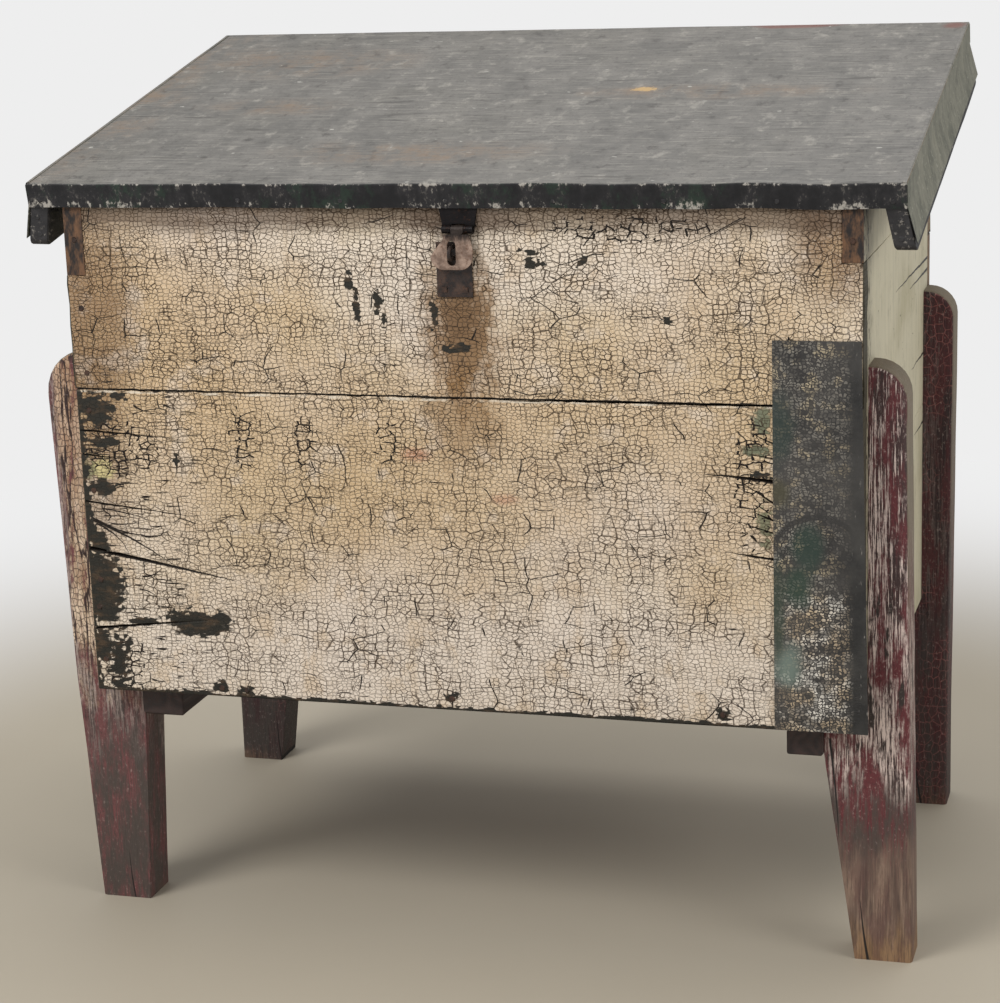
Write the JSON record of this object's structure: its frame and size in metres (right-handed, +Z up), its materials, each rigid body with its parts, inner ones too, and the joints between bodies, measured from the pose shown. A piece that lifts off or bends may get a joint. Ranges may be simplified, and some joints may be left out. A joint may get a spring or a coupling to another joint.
{
  "type": "flour bin",
  "caption": "Slant-lid wooden flour bin: a nailed board box on notched plank legs, with a hinged sheet-covered lid, hasp and staple, and a tin plate on one front corner.",
  "frame": {"origin": "on the floor, under the middle of the bounding box", "axes": "+Z up, +X to the right along the front, -Y out of the front"},
  "size_m": [0.854, 0.5414, 0.8453],
  "materials": {
    "cream_paint": "crackled cream oil paint",
    "pale_paint": "smooth pale grey-green paint",
    "back_paint": "thin worn pale paint over bare wood",
    "bare_wood": "bare aged softwood",
    "maroon_paint": "worn dark red paint",
    "lid_paint": "dull dark grey paint",
    "black_paint": "dull black paint",
    "plate_paint": "dark grey paint on sheet tin",
    "iron": "worn brown iron",
    "fasteners": "rusted iron"
  },
  "bodies": {
    "bin": {"front_board_upper": "cream_paint", "front_board_lower": "cream_paint", "side_left_lower": "pale_paint", "side_left_upper": "pale_paint", "side_left_top": "pale_paint", "side_right_lower": "pale_paint", "side_right_upper": "pale_paint", "side_right_top": "pale_paint", "back_board_lower": "back_paint", "back_board_middle": "back_paint", "back_board_upper": "back_paint", "bottom_board_front": "bare_wood", "bottom_board_middle": "bare_wood", "bottom_board_back": "bare_wood", "runner_left": "bare_wood", "runner_right": "bare_wood", "leg_front_left": "maroon_paint", "leg_front_right": "maroon_paint", "leg_rear_left": "maroon_paint", "leg_rear_right": "maroon_paint", "corner_plate": "plate_paint", "corner_plate_tack_upper_left": "fasteners", "corner_plate_tack_upper_right": "fasteners", "corner_plate_tack_lower_left": "fasteners", "corner_plate_tack_lower_right": "fasteners", "staple_plate": "iron", "staple": "iron", "staple_plate_nail_left": "fasteners", "staple_plate_nail_right": "fasteners", "corner_nail_left": "fasteners", "corner_nail_right": "fasteners", "leg_nail_front_left": "fasteners", "leg_nail_front_right": "fasteners", "leg_nail_rear_left": "fasteners", "leg_nail_rear_right": "fasteners", "hinge_left_leaf": "iron", "hinge_right_leaf": "iron", "hinge_left_pin": "iron", "hinge_right_pin": "iron", "hinge_left_leaf_screw_outer": "fasteners", "hinge_left_leaf_screw_inner": "fasteners", "hinge_right_leaf_screw_outer": "fasteners", "hinge_right_leaf_screw_inner": "fasteners"},
    "lid": {"lid_board_front": "bare_wood", "lid_board_middle": "bare_wood", "lid_board_back": "bare_wood", "lid_cover": "lid_paint", "lid_cleat_left": "black_paint", "lid_cleat_right": "black_paint", "hinge_left_flap": "iron", "hinge_right_flap": "iron", "hinge_left_flap_screw_outer": "fasteners", "hinge_left_flap_screw_inner": "fasteners", "hinge_right_flap_screw_outer": "fasteners", "hinge_right_flap_screw_inner": "fasteners", "hasp_strap": "iron", "hasp_strap_screw_left": "fasteners", "hasp_strap_screw_right": "fasteners", "hasp_pin": "iron"},
    "hasp": {"hasp_leaf": "iron"}
  },
  "joints": [
    {"name": "lid_hinge", "type": "hinge", "parent": "bin", "child": "lid", "pos_m": [0, 0.25995, 0.81963], "axis": [-1, 0, 0], "range_deg": [0, 120]},
    {"name": "hasp_hinge", "type": "hinge", "parent": "lid", "child": "hasp", "pos_m": [0.0134, -0.25505, 0.6965], "axis": [-1, 0, 0], "range_deg": [0, 150]}
  ]
}
